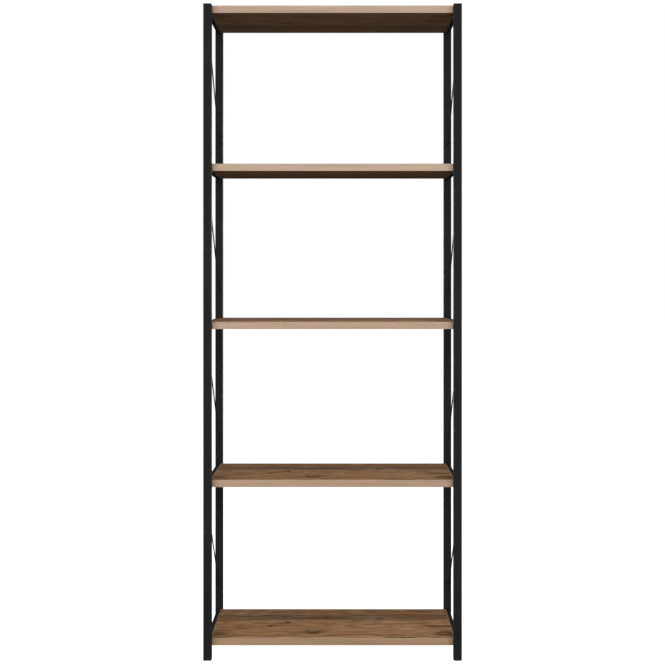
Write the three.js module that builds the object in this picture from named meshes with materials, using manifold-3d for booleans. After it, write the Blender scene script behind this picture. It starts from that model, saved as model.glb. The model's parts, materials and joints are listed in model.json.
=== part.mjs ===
// Open bookcase: two welded steel side frames carry five wood-effect boards, one above the other.
// Millimetres, +Z up. The origin is on the floor at the centre of the footprint, and the front faces -Y.
import * as THREE from 'three';
import { mergeVertices } from 'three/addons/utils/BufferGeometryUtils.js';
import Module from 'manifold-3d';

const wasm = await Module();
wasm.setup();

// ---------------------------------------------------------------- driving dimensions

// Whole bookcase
const WIDTH = 630;
const DEPTH = 300;
const HEIGHT = 1600;
const LEVELS = 5;
const LEVEL_PITCH = 388;

// Corner posts: square steel tube
const POST_SIZE = 20;
const POST_WALL = 1.2;
const POST_CORNER = 2;

// Side rails: flat rectangular tube on the centre line of the posts
const RAIL_WIDTH = 10;
const RAIL_HEIGHT = 20;
const RAIL_WALL = 1;
const RAIL_CORNER = 1.5;
const TUBE_INNER_CORNER = 0.4; // least radius inside a tube's corners

// Boards: faced chipboard with a separate band on the front edge
const BOARD_THICKNESS = 18;
const BOARD_SETBACK = 5; // from the posts' front and rear faces to the board's edges, inside the posts
const BAND_THICKNESS = 1;

// Brace rods: one thin bent rod for each bay and side, measured up from the board below
const ROD_DIAMETER = 3;
const ROD_TOP_RISE = 277;
const ROD_FOOT_RISE = 74;
const ROD_INSET = { left: 4, right: 7.4 }; // from the posts' inner face out to the rod's centre

// Plastic caps and feet pressed into the ends of the posts
const CAP_PLATE = 2;
const FOOT_PLATE = 4;
const PLUG_DEPTH = 12;
const PLUG_WALL = 1.6;
const PLUG_GAP = 0.3;
const PLUG_BEVEL = 0.5;

// Screws: two through each rail into the end of its board
const SCREW_SPREAD = 150; // between the two screws of one board end
const SHANK_RADIUS = 2;
const SHANK_LENGTH = 38;
const SHANK_TIP = 5;
const HEAD_RADIUS = 4.2;
const HEAD_HEIGHT = 2.4;
const SOCKET_RADIUS = 1.5;
const SOCKET_DEPTH = 1.5;
const HOLE_GAP = 0.3; // between a screw and the sides of its hole
const HOLE_SPARE = 2; // how far a board's hole runs past the screw's tip

// Facets
const CORNER_SEGMENTS = 1; // the arc of one corner is drawn with twice as many
const ROD_SIDES = 12;
const SCREW_SIDES = 8;
const CUT_SPARE = 5; // how far a cutting tool runs past the faces it cuts

// ---------------------------------------------------------------- derived places

const POST_X = (WIDTH - POST_SIZE) / 2;
const POST_Y = (DEPTH - POST_SIZE) / 2;
const POST_INNER_X = POST_X - POST_SIZE / 2;
const RAIL_LENGTH = DEPTH - 2 * POST_SIZE;
const RAIL_OUTER_X = POST_X + RAIL_WIDTH / 2;
const BOARD_LENGTH = 2 * (POST_X - RAIL_WIDTH / 2);
const BOARD_DEPTH = RAIL_LENGTH - 2 * BOARD_SETBACK;
const SCREW_DROP = BOARD_THICKNESS / 2;

const SIDES = { left: -1, right: 1 };
const ENDS = { front: -1, rear: 1 };

// Height of the top face of the board at a level, counted from the floor up.
const levelTop = (level) => HEIGHT - (LEVELS - level) * LEVEL_PITCH;

// ---------------------------------------------------------------- materials

const finish = (color, roughness, metalness) => () =>
  new THREE.MeshStandardMaterial({ color, roughness, metalness });

const paintedSteel = finish(0x29292a, 0.55, 0.3);
const woodDecor = finish(0x7a5b40, 0.6, 0);
const paleBand = finish(0xb09a83, 0.6, 0);
const blackPlastic = finish(0x141415, 0.7, 0);
const screwSteel = finish(0x2f2f31, 0.4, 0.8);

// ---------------------------------------------------------------- geometry helpers

// A closed three.js geometry as a solid that can be joined and cut.
function solidFrom(geometry) {
  const bare = geometry.clone();
  bare.deleteAttribute('normal');
  bare.deleteAttribute('uv');
  const merged = mergeVertices(bare, 1e-4);
  return new wasm.Manifold(
    new wasm.Mesh({
      numProp: 3,
      vertProperties: new Float32Array(merged.attributes.position.array),
      triVerts: new Uint32Array(merged.index.array),
    }),
  );
}

// The three.js geometry of a solid.
function geometryFrom(solid) {
  const { vertProperties, triVerts } = solid.getMesh();
  const geometry = new THREE.BufferGeometry();
  geometry.setAttribute('position', new THREE.BufferAttribute(vertProperties, 3));
  geometry.setIndex(new THREE.BufferAttribute(triVerts, 1));
  geometry.computeVertexNormals();
  return geometry;
}

// Traces a rectangle with round corners, centred on the origin, into a shape or a hole's path.
function roundedRectangle(path, width, height, radius) {
  const x = width / 2 - radius;
  const y = height / 2 - radius;
  path.absarc(x, y, radius, 0, Math.PI / 2);
  path.absarc(-x, y, radius, Math.PI / 2, Math.PI);
  path.absarc(-x, -y, radius, Math.PI, 1.5 * Math.PI);
  path.absarc(x, -y, radius, 1.5 * Math.PI, 2 * Math.PI);
  path.closePath();
  return path;
}

// Section of a rectangular tube.
function tubeSection(width, height, radius, wall) {
  const section = roundedRectangle(new THREE.Shape(), width, height, radius);
  const innerRadius = Math.max(radius - wall, TUBE_INNER_CORNER);
  section.holes.push(roundedRectangle(new THREE.Path(), width - 2 * wall, height - 2 * wall, innerRadius));
  return section;
}

// A section pushed out along +Z from z = 0.
function extrude(section, depth) {
  return new THREE.ExtrudeGeometry(section, { depth, bevelEnabled: false, curveSegments: CORNER_SEGMENTS });
}

// A length of the brace's round rod between two points of the plane x = 0.
function rodBetween(from, to) {
  const along = new THREE.Vector3().subVectors(to, from);
  const bar = new THREE.CylinderGeometry(ROD_DIAMETER / 2, ROD_DIAMETER / 2, along.length(), ROD_SIDES);
  const turn = new THREE.Quaternion().setFromUnitVectors(new THREE.Vector3(0, 1, 0), along.normalize());
  bar.applyQuaternion(turn);
  const middle = new THREE.Vector3().addVectors(from, to).multiplyScalar(0.5);
  return bar.translate(middle.x, middle.y, middle.z);
}

// A round tool along X for cutting screw holes, centred on the given point.
function drillAlongX(length, x, y, z) {
  const radius = SHANK_RADIUS + HOLE_GAP;
  const drill = new THREE.CylinderGeometry(radius, radius, length, SCREW_SIDES);
  return solidFrom(drill.rotateZ(Math.PI / 2).translate(x, y, z));
}

// ---------------------------------------------------------------- pieces, each in its own local frame

// Post, from the foot plate up to the cap plate.
function postGeometry() {
  const section = tubeSection(POST_SIZE, POST_SIZE, POST_CORNER, POST_WALL);
  return extrude(section, HEIGHT - FOOT_PLATE - CAP_PLATE).translate(0, 0, FOOT_PLATE);
}

// Rail along Y, centred on its own length and section, cross-drilled for the two screws.
function railGeometry() {
  const section = tubeSection(RAIL_WIDTH, RAIL_HEIGHT, RAIL_CORNER, RAIL_WALL);
  const tube = extrude(section, RAIL_LENGTH).translate(0, 0, -RAIL_LENGTH / 2).rotateX(Math.PI / 2);
  const screwZ = RAIL_HEIGHT / 2 - SCREW_DROP;
  let solid = solidFrom(tube);
  for (const end of Object.values(ENDS)) {
    solid = solid.subtract(drillAlongX(RAIL_WIDTH + 2 * CUT_SPARE, 0, (end * SCREW_SPREAD) / 2, screwZ));
  }
  return geometryFrom(solid);
}

// Board without its front band. x = 0 is mid length, y = 0 mid depth with the band, z = 0 mid thickness.
function boardGeometry() {
  const depth = BOARD_DEPTH - BAND_THICKNESS;
  const core = new THREE.BoxGeometry(BOARD_LENGTH, depth, BOARD_THICKNESS);
  core.translate(0, BAND_THICKNESS / 2, 0);
  const holeDepth = SHANK_LENGTH - RAIL_WIDTH + HOLE_SPARE;
  const toolLength = holeDepth + CUT_SPARE;
  const toolX = BOARD_LENGTH / 2 - holeDepth + toolLength / 2;
  let solid = solidFrom(core);
  for (const side of Object.values(SIDES)) {
    for (const end of Object.values(ENDS)) {
      solid = solid.subtract(drillAlongX(toolLength, side * toolX, (end * SCREW_SPREAD) / 2, 0));
    }
  }
  return geometryFrom(solid);
}

// Band on a board's front edge.
function bandGeometry() {
  return new THREE.BoxGeometry(BOARD_LENGTH, BAND_THICKNESS, BOARD_THICKNESS);
}

// Brace rod in the plane x = 0: from the front post it falls at 45 degrees,
// then it turns level and runs back to the rear post. z = 0 is the top of the board below.
function rodGeometry() {
  const radius = ROD_DIAMETER / 2;
  const face = RAIL_LENGTH / 2;
  const fall = ROD_TOP_RISE - ROD_FOOT_RISE;
  const knee = new THREE.Vector3(0, fall - face, ROD_FOOT_RISE);
  const start = new THREE.Vector3(0, -face - CUT_SPARE, ROD_TOP_RISE + CUT_SPARE);
  const end = new THREE.Vector3(0, face, ROD_FOOT_RISE);
  const elbow = new THREE.SphereGeometry(radius, ROD_SIDES, ROD_SIDES / 2);
  elbow.translate(knee.x, knee.y, knee.z);
  const trim = new THREE.BoxGeometry(4 * radius, 4 * CUT_SPARE, 8 * CUT_SPARE)
    .translate(0, -face - 2 * CUT_SPARE, ROD_TOP_RISE);
  return geometryFrom(
    solidFrom(rodBetween(start, knee))
      .add(solidFrom(rodBetween(knee, end)))
      .add(solidFrom(elbow))
      .subtract(solidFrom(trim)),
  );
}

// Plate with a hollow plug under it that sits inside the post's tube. The plate's lower face is z = 0.
function plugGeometry(plate) {
  const inside = POST_SIZE - 2 * POST_WALL - 2 * PLUG_GAP;
  const plateSection = roundedRectangle(
    new THREE.Shape(),
    POST_SIZE - 2 * PLUG_BEVEL,
    POST_SIZE - 2 * PLUG_BEVEL,
    POST_CORNER - PLUG_BEVEL,
  );
  const flange = new THREE.ExtrudeGeometry(plateSection, {
    depth: plate,
    bevelThickness: PLUG_BEVEL,
    bevelSize: PLUG_BEVEL,
    bevelSegments: 1,
    curveSegments: CORNER_SEGMENTS,
  });
  const belowPlate = new THREE.BoxGeometry(2 * POST_SIZE, 2 * POST_SIZE, 2 * PLUG_BEVEL)
    .translate(0, 0, -PLUG_BEVEL);
  const sleeveSection = tubeSection(inside, inside, POST_CORNER - PLUG_BEVEL, PLUG_WALL);
  const sleeve = extrude(sleeveSection, PLUG_DEPTH + PLUG_BEVEL).translate(0, 0, -PLUG_DEPTH);
  return geometryFrom(
    solidFrom(flange)
      .translate(0, 0, -PLUG_BEVEL)
      .subtract(solidFrom(belowPlate))
      .add(solidFrom(sleeve)),
  );
}

// Screw along +Y: the head stands above y = 0 and has a hexagon socket, the shank hangs below.
function screwGeometry() {
  const profile = [
    [0, -SHANK_LENGTH],
    [SHANK_RADIUS, SHANK_TIP - SHANK_LENGTH],
    [SHANK_RADIUS, 0],
    [HEAD_RADIUS, 0],
    [HEAD_RADIUS, 0.35 * HEAD_HEIGHT],
    [0.75 * HEAD_RADIUS, 0.85 * HEAD_HEIGHT],
    [0.5 * HEAD_RADIUS, HEAD_HEIGHT],
    [0, HEAD_HEIGHT],
  ].map(([r, y]) => new THREE.Vector2(r, y));
  const body = new THREE.LatheGeometry(profile, SCREW_SIDES);
  const socket = new THREE.CylinderGeometry(SOCKET_RADIUS, SOCKET_RADIUS, SOCKET_DEPTH + CUT_SPARE, 6)
    .translate(0, HEAD_HEIGHT - SOCKET_DEPTH + (SOCKET_DEPTH + CUT_SPARE) / 2, 0);
  return geometryFrom(solidFrom(body).subtract(solidFrom(socket)));
}

// ---------------------------------------------------------------- assembly

const bookcase = new THREE.Group();

// Puts one named piece into the bookcase.
function place(name, geometry, material, x, y, z) {
  const mesh = new THREE.Mesh(geometry, material);
  mesh.name = name;
  mesh.position.set(x, y, z);
  bookcase.add(mesh);
  return mesh;
}

for (const [side, sideSign] of Object.entries(SIDES)) {
  for (const [end, endSign] of Object.entries(ENDS)) {
    const x = sideSign * POST_X;
    const y = endSign * POST_Y;
    place(`post_${side}_${end}`, postGeometry(), paintedSteel(), x, y, 0);
    place(`top_cap_${side}_${end}`, plugGeometry(CAP_PLATE), blackPlastic(), x, y, HEIGHT - CAP_PLATE);
    const foot = place(`foot_${side}_${end}`, plugGeometry(FOOT_PLATE), blackPlastic(), x, y, FOOT_PLATE);
    foot.rotation.x = Math.PI;
  }

  for (let level = 1; level <= LEVELS; level += 1) {
    const top = levelTop(level);
    const railZ = top - RAIL_HEIGHT / 2;
    place(`rail_${side}_${level}`, railGeometry(), paintedSteel(), sideSign * POST_X, 0, railZ);
    for (const [end, endSign] of Object.entries(ENDS)) {
      const screw = place(
        `screw_${side}_${level}_${end}`,
        screwGeometry(),
        screwSteel(),
        sideSign * RAIL_OUTER_X,
        (endSign * SCREW_SPREAD) / 2,
        top - SCREW_DROP,
      );
      screw.rotation.z = (-sideSign * Math.PI) / 2;
    }
  }

  for (let bay = 1; bay < LEVELS; bay += 1) {
    const x = sideSign * (POST_INNER_X + ROD_INSET[side]);
    place(`brace_rod_${side}_${bay}`, rodGeometry(), paintedSteel(), x, 0, levelTop(bay));
  }
}

for (let level = 1; level <= LEVELS; level += 1) {
  const middle = levelTop(level) - BOARD_THICKNESS / 2;
  place(`board_${level}`, boardGeometry(), woodDecor(), 0, 0, middle);
  place(`edge_band_${level}`, bandGeometry(), paleBand(), 0, (BAND_THICKNESS - BOARD_DEPTH) / 2, middle);
}

export default bookcase;
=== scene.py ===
"""Looks of a five-board bookcase on two welded black steel side frames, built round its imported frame.

All lengths are metres. The origin is at the middle of the footprint on the floor, the front faces -Y
and +Z is up. Places come from the frame's own boxes, so every piece sits where the design puts it.
"""
import json
import logging
import math
from dataclasses import dataclass
from enum import Enum
from typing import Callable, Sequence

import bmesh
import bpy
from mathutils import Matrix, Vector

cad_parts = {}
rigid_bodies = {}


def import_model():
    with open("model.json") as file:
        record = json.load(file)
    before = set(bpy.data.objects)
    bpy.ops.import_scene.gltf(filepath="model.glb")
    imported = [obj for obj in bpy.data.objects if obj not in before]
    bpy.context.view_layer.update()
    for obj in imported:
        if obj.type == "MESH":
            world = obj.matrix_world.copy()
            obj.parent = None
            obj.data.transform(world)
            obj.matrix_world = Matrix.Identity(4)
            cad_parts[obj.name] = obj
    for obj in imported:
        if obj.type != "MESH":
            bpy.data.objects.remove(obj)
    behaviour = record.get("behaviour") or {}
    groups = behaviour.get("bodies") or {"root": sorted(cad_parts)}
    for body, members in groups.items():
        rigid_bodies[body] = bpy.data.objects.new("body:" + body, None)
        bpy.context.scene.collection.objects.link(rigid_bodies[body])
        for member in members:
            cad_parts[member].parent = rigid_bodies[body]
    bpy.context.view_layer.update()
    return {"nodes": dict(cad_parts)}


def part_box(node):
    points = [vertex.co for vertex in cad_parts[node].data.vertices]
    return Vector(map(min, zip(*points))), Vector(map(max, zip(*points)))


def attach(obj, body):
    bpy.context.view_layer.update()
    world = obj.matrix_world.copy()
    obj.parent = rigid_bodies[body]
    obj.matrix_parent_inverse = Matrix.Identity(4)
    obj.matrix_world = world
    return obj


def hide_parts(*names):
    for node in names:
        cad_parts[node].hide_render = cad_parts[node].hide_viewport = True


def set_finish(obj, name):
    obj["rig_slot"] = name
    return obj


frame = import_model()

log = logging.getLogger("bookcase")

BODY = "root"
MM = 0.001
X, Y, Z = 0, 1, 2
ORIGIN = Vector((0.0, 0.0, 0.0))
SAME_PLACE = 0.01 * MM
DOUBLED = 0.005 * MM
EDGE_ALIGNED = 0.99
FACE_ALIGNED = 0.999

Piece = bpy.types.Object
Material = bpy.types.Material
Socket = bpy.types.NodeSocket
Feed = Socket | float | tuple
Colour = tuple[float, float, float]
Stop = tuple[float, Colour]


class Side(Enum):
    """The two side frames, named as seen from the front."""

    LEFT = "left"
    RIGHT = "right"

    @property
    def sign(self) -> int:
        """The side's direction along X."""
        return -1 if self is Side.LEFT else 1

    def outer(self, low: Vector, high: Vector) -> float:
        """The outer one of a box's two faces across X."""
        return low.x if self is Side.LEFT else high.x


class End(Enum):
    """The two ends of a side frame."""

    FRONT = "front"
    REAR = "rear"


class Slot(Enum):
    """The record's material slots."""

    STEEL = "frame_steel"
    WOOD = "board_wood"
    BAND = "edge_band"
    PLASTIC = "black_plastic"
    SCREW = "screw_steel"


# ---------------------------------------------------------------------------------- modelling bench


class Bench:
    """The modelling moves that all pieces share, each made with operators on one active piece."""

    @staticmethod
    def clear() -> None:
        """Leave edit mode and deselect everything."""
        active = bpy.context.view_layer.objects.active
        if active is not None and active.mode != "OBJECT":
            bpy.ops.object.mode_set(mode="OBJECT")
        bpy.ops.object.select_all(action="DESELECT")

    @staticmethod
    def hold(piece: Piece) -> None:
        """Make a piece the only selected one and the active one."""
        Bench.clear()
        piece.select_set(True)
        bpy.context.view_layer.objects.active = piece

    @staticmethod
    def name(piece: Piece, name: str) -> Piece:
        """Name a piece and its mesh alike, and return the piece."""
        piece.name = name
        piece.data.name = name
        return piece

    @staticmethod
    def settle(piece: Piece) -> None:
        """Put a piece's place, turn and scale into its mesh."""
        Bench.hold(piece)
        bpy.ops.object.transform_apply(location=True, rotation=True, scale=True)

    @staticmethod
    def block(name: str, low: Vector, high: Vector) -> Piece:
        """Add a block between two corners.

        Args:
            name: The piece's name.
            low: The lowest corner.
            high: The highest corner.

        Returns:
            The block, with its place in its mesh.
        """
        Bench.clear()
        bpy.ops.mesh.primitive_cube_add(size=1.0, location=(low + high) / 2)
        piece = Bench.name(bpy.context.object, name)
        piece.scale = high - low
        Bench.settle(piece)
        return piece

    @staticmethod
    def disc(name: str, centre: Vector, radius: float, axis: int, sides: int) -> Piece:
        """Add a filled disc across one axis and select it, ready to be drawn out.

        Args:
            name: The piece's name.
            centre: The disc's centre.
            radius: Its radius.
            axis: The axis that it faces along.
            sides: The corners of its outline.

        Returns:
            The disc, with its place in its mesh.
        """
        turns = {X: (0.0, math.pi / 2, 0.0), Y: (math.pi / 2, 0.0, 0.0), Z: (0.0, 0.0, 0.0)}
        Bench.clear()
        bpy.ops.mesh.primitive_circle_add(
            vertices=sides, radius=radius, fill_type="NGON", location=centre, rotation=turns[axis]
        )
        piece = Bench.name(bpy.context.object, name)
        Bench.settle(piece)
        Bench.pick(piece, "FACE", lambda face: True)
        return piece

    @staticmethod
    def pick(piece: Piece, kind: str, test: Callable[[object], bool]) -> None:
        """Enter edit mode with only the elements of one kind that pass a test selected.

        Args:
            piece: The piece to edit.
            kind: VERT, EDGE or FACE.
            test: Says whether an element is selected.
        """
        Bench.hold(piece)
        bpy.ops.object.mode_set(mode="EDIT")
        bpy.ops.mesh.select_mode(type=kind)
        bpy.ops.mesh.select_all(action="DESELECT")
        mesh = bmesh.from_edit_mesh(piece.data)
        elements = {"VERT": mesh.verts, "EDGE": mesh.edges, "FACE": mesh.faces}[kind]
        for element in elements:
            if test(element):
                element.select_set(True)
        mesh.select_flush_mode()
        bmesh.update_edit_mesh(piece.data)

    @staticmethod
    def soften(piece: Piece, test: Callable[[object], bool], radius: float, steps: int) -> None:
        """Round the edges that pass a test.

        Args:
            piece: The piece to edit.
            test: Says whether an edge is rounded.
            radius: The radius of the rounding.
            steps: The faces over it.
        """
        Bench.pick(piece, "EDGE", test)
        bpy.ops.mesh.bevel(offset=radius, segments=steps, profile=0.5, affect="EDGES")

    @staticmethod
    def extrude(step: Vector, swell: Vector | None = None, centre: Vector = ORIGIN) -> None:
        """Extrude what is selected by a step, and scale the new end about a centre.

        Args:
            step: The move of the new end.
            swell: Its scale along each axis, if it changes.
            centre: The point that stays put while it is scaled.
        """
        bpy.ops.mesh.extrude_region_move(TRANSFORM_OT_translate={"value": step})
        if swell is not None:
            bpy.ops.transform.resize(value=swell, center_override=centre)

    @staticmethod
    def rings(axis: int, start: tuple[float, float], profile: Sequence[tuple[float, float]]) -> None:
        """Draw what is selected along an axis from ring to ring.

        Args:
            axis: The axis that the rings lie round.
            start: The place along it and the radius of what is selected.
            profile: The place and the radius of each ring that follows.
        """
        place, radius = start
        for height, wanted in profile:
            share = wanted / radius
            step = Vector((0.0, 0.0, 0.0))
            swell = Vector((share, share, share))
            step[axis], swell[axis] = height - place, 1.0
            Bench.extrude(step, swell)
            place, radius = height, wanted

    @staticmethod
    def modify(piece: Piece, kind: str, **settings: object) -> None:
        """Add a modifier with its settings and apply it."""
        Bench.hold(piece)
        modifier = piece.modifiers.new(kind.lower(), kind)
        for name, value in settings.items():
            setattr(modifier, name, value)
        bpy.ops.object.modifier_apply(modifier=modifier.name)

    @staticmethod
    def shade(piece: Piece, degrees: float = 32.0) -> None:
        """Shade a piece smooth wherever its faces meet at less than an angle."""
        Bench.hold(piece)
        bpy.ops.object.shade_smooth_by_angle(angle=math.radians(degrees))

    @staticmethod
    def turn_out(piece: Piece) -> None:
        """Close doubled points and face every face outwards."""
        Bench.pick(piece, "VERT", lambda vertex: True)
        bpy.ops.mesh.remove_doubles(threshold=DOUBLED)
        bpy.ops.mesh.select_all(action="SELECT")
        bpy.ops.mesh.normals_make_consistent(inside=False)
        Bench.clear()

    @staticmethod
    def copy(pattern: Piece, name: str, place: Matrix) -> Piece:
        """Copy a pattern piece with a mesh of its own.

        Args:
            pattern: The piece that is repeated.
            name: The copy's name.
            place: Where the pattern's origin goes, and how it is turned.

        Returns:
            The copy, with its place in its mesh.
        """
        made = pattern.copy()
        made.data = pattern.data.copy()
        bpy.context.scene.collection.objects.link(made)
        made.data.transform(place)
        return Bench.name(made, name)

    @staticmethod
    def join(name: str, pieces: Sequence[Piece]) -> Piece:
        """Join pieces into one and name it."""
        Bench.clear()
        for piece in pieces:
            piece.select_set(True)
        bpy.context.view_layer.objects.active = pieces[0]
        bpy.ops.object.join()
        return Bench.name(bpy.context.object, name)


def runs_along(edge: bmesh.types.BMEdge, axis: int) -> bool:
    """Whether an edge lies along an axis."""
    step = edge.verts[1].co - edge.verts[0].co
    return abs(step[axis]) > EDGE_ALIGNED * step.length > 0.0


def at_place(edge: bmesh.types.BMEdge, axis: int, place: float) -> bool:
    """Whether both ends of an edge are at one place on an axis."""
    return all(abs(vertex.co[axis] - place) < SAME_PLACE for vertex in edge.verts)


def faces_along(face: bmesh.types.BMFace, axis: int, sign: int) -> bool:
    """Whether a face looks along an axis in one direction."""
    return face.normal[axis] * sign > FACE_ALIGNED


def fit(piece: Piece, slot: Slot, material: Material, *nodes: str) -> Piece:
    """Dress a finished piece, put it on the body and let it stand for its nodes.

    Args:
        piece: The finished piece.
        slot: The record's slot that its finish comes from.
        material: Its material.
        *nodes: The frame's nodes that it replaces.

    Returns:
        The same piece.
    """
    piece.data.materials.clear()
    piece.data.materials.append(material)
    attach(piece, BODY)
    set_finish(piece, slot.value)
    if nodes:
        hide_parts(*nodes)
    faces = len(piece.data.polygons)
    log.info("%s: %d faces, %s", piece.name, faces, material.name)
    return piece


# ------------------------------------------------------------------------------------ shader wiring


class Graph:
    """A node tree being wired. Each method adds one node and gives back its output."""

    def __init__(self, tree: bpy.types.NodeTree) -> None:
        """Hold the tree that is wired."""
        self.tree = tree

    def node(self, kind: str, **settings: object) -> bpy.types.Node:
        """Add a node of a kind with its settings."""
        made = self.tree.nodes.new(kind)
        for name, value in settings.items():
            setattr(made, name, value)
        return made

    def feed(self, target: Socket, source: Feed) -> None:
        """Link a socket into another, or set a constant on it."""
        if isinstance(source, bpy.types.NodeSocket):
            self.tree.links.new(source, target)
        elif isinstance(source, tuple) and target.type == "RGBA":
            target.default_value = (*source[:3], 1.0)
        else:
            target.default_value = source

    def math(self, operation: str, *values: Feed) -> Socket:
        """Add a math node."""
        made = self.node("ShaderNodeMath", operation=operation)
        for socket, value in zip(made.inputs, values):
            self.feed(socket, value)
        return made.outputs[0]

    def add(self, *values: Feed) -> Socket:
        """Add several values up."""
        total = values[0]
        for value in values[1:]:
            total = self.math("ADD", total, value)
        return total

    def times(self, first: Feed, second: Feed) -> Socket:
        """Multiply two values."""
        return self.math("MULTIPLY", first, second)

    def minus(self, first: Feed, second: Feed) -> Socket:
        """Take one value from another."""
        return self.math("SUBTRACT", first, second)

    def centred(self, value: Feed, width: float) -> Socket:
        """Spread a value from 0 to 1 over a width about 0."""
        return self.math("MULTIPLY_ADD", value, width, -width / 2)

    def most(self, values: Sequence[Feed]) -> Feed:
        """Take the highest of several values and 0."""
        total: Feed = 0.0
        for value in values:
            total = self.math("MAXIMUM", total, value)
        return total

    def split(self, vector: Feed) -> tuple[Socket, Socket, Socket]:
        """Take a vector apart into its three parts."""
        made = self.node("ShaderNodeSeparateXYZ")
        self.feed(made.inputs[0], vector)
        return made.outputs[0], made.outputs[1], made.outputs[2]

    def point(self, x: Feed, y: Feed, z: Feed) -> Socket:
        """Make a vector of three values."""
        made = self.node("ShaderNodeCombineXYZ")
        for socket, value in zip(made.inputs, (x, y, z)):
            self.feed(socket, value)
        return made.outputs[0]

    def ramp(self, value: Feed, low: float, high: float) -> Socket:
        """Rise smoothly from 0 at one value to 1 at another."""
        made = self.node("ShaderNodeMapRange", interpolation_type="SMOOTHSTEP")
        for socket, number in zip(made.inputs, (value, low, high, 0.0, 1.0)):
            self.feed(socket, number)
        return made.outputs[0]

    def noise(self, vector: Feed, scale: Feed, detail: float = 2.0, rough: float = 0.5) -> Socket:
        """Add a soft noise from 0 to 1.

        Args:
            vector: Where it is read.
            scale: Its features per metre.
            detail: Its octaves.
            rough: How strong the finer octaves are.

        Returns:
            The noise.
        """
        made = self.node("ShaderNodeTexNoise")
        self.feed(made.inputs["Vector"], vector)
        self.feed(made.inputs["Scale"], scale)
        self.feed(made.inputs["Detail"], detail)
        self.feed(made.inputs["Roughness"], rough)
        return made.outputs["Fac"]

    def colours(self, value: Feed, stops: Sequence[Stop]) -> Socket:
        """Turn a value into a colour along a row of stops."""
        made = self.node("ShaderNodeValToRGB")
        ramp = made.color_ramp
        while len(ramp.elements) < len(stops):
            ramp.elements.new(1.0)
        for element, (place, colour) in zip(ramp.elements, stops):
            element.position = place
            element.color = (*colour, 1.0)
        self.feed(made.inputs[0], value)
        return made.outputs[0]

    def mix(self, share: Feed, first: Feed, second: Feed, blend: str = "MIX") -> Socket:
        """Mix two colours.

        Args:
            share: How much of the second one.
            first: The first colour.
            second: The second colour.
            blend: How the second one is laid on.

        Returns:
            The mixed colour.
        """
        made = self.node("ShaderNodeMix", data_type="RGBA", blend_type=blend)
        self.feed(made.inputs["Factor"], share)
        self.feed(made.inputs[6], first)
        self.feed(made.inputs[7], second)
        return made.outputs[2]

    def bump(self, height: Feed, strength: float, distance: float) -> Socket:
        """Turn a height into a shading normal."""
        made = self.node("ShaderNodeBump")
        self.feed(made.inputs["Strength"], strength)
        self.feed(made.inputs["Distance"], distance)
        self.feed(made.inputs["Height"], height)
        return made.outputs["Normal"]

    def place(self) -> Socket:
        """The shaded point in the frame's own metres."""
        return self.node("ShaderNodeTexCoord").outputs["Object"]

    def upward(self) -> Socket:
        """How far the shaded face looks up, from -1 to 1."""
        return self.split(self.node("ShaderNodeNewGeometry").outputs["Normal"])[Z]

    def effect(self, tree: bpy.types.NodeTree, **inputs: Feed) -> bpy.types.NodeOutputs:
        """Add an effect group, feed its inputs, named with _ for a space, and give what comes out."""
        made = self.node("ShaderNodeGroup", node_tree=tree)
        for name, value in inputs.items():
            self.feed(made.inputs[name.replace("_", " ")], value)
        return made.outputs

    def shader(self, kind: str, **inputs: Feed) -> Socket:
        """Add a plain shader and feed its inputs."""
        made = self.node(kind)
        for name, value in inputs.items():
            self.feed(made.inputs[name], value)
        return made.outputs[0]

    def by_eye(self, output: str, seen: Socket, given: Socket) -> None:
        """Show one shader to the camera and let another one light everything else.

        Args:
            output: The kind of output node.
            seen: What the camera sees.
            given: What all other light meets.
        """
        choice = self.node("ShaderNodeMixShader")
        self.feed(choice.inputs[0], self.node("ShaderNodeLightPath").outputs["Is Camera Ray"])
        self.feed(choice.inputs[1], given)
        self.feed(choice.inputs[2], seen)
        self.feed(self.node(output).inputs["Surface"], choice.outputs[0])


@dataclass(frozen=True)
class Figure:
    """A noise stretched along the grain, and the part of it that shows.

    Attributes:
        along: Its features per metre along the grain.
        across: Its features per metre across the grain.
        detail: Its octaves.
        low: Where it starts to show.
        high: Where it shows in full.
        seed: Which noise it is, when it is given no seed that varies.
    """

    along: float
    across: float
    detail: float = 2.0
    low: float = 0.0
    high: float = 1.0
    seed: float = 0.0

    def read(self, graph: Graph, along: Feed, across: Feed, seed: Feed | None = None) -> Socket:
        """Wire the noise as it is."""
        depth = self.seed if seed is None else seed
        where = graph.point(graph.times(along, self.along), graph.times(across, self.across), depth)
        return graph.noise(where, 1.0, self.detail)

    def show(self, graph: Graph, along: Feed, across: Feed, seed: Feed | None = None) -> Socket:
        """Wire the part of the noise that shows, from 0 to 1."""
        return graph.ramp(self.read(graph, along, across, seed), self.low, self.high)


@dataclass(frozen=True)
class Stain:
    """A colour that is laid over another one.

    Attributes:
        colour: The colour.
        strength: How much of it there is where its mask is full.
        blend: How it is laid on.
    """

    colour: Colour
    strength: float = 1.0
    blend: str = "MIX"

    def lay(self, graph: Graph, mask: Feed, under: Feed) -> Socket:
        """Lay the stain over a colour wherever its mask is."""
        share = mask if self.strength == 1.0 else graph.times(mask, self.strength)
        return graph.mix(share, under, self.colour, self.blend)


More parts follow.
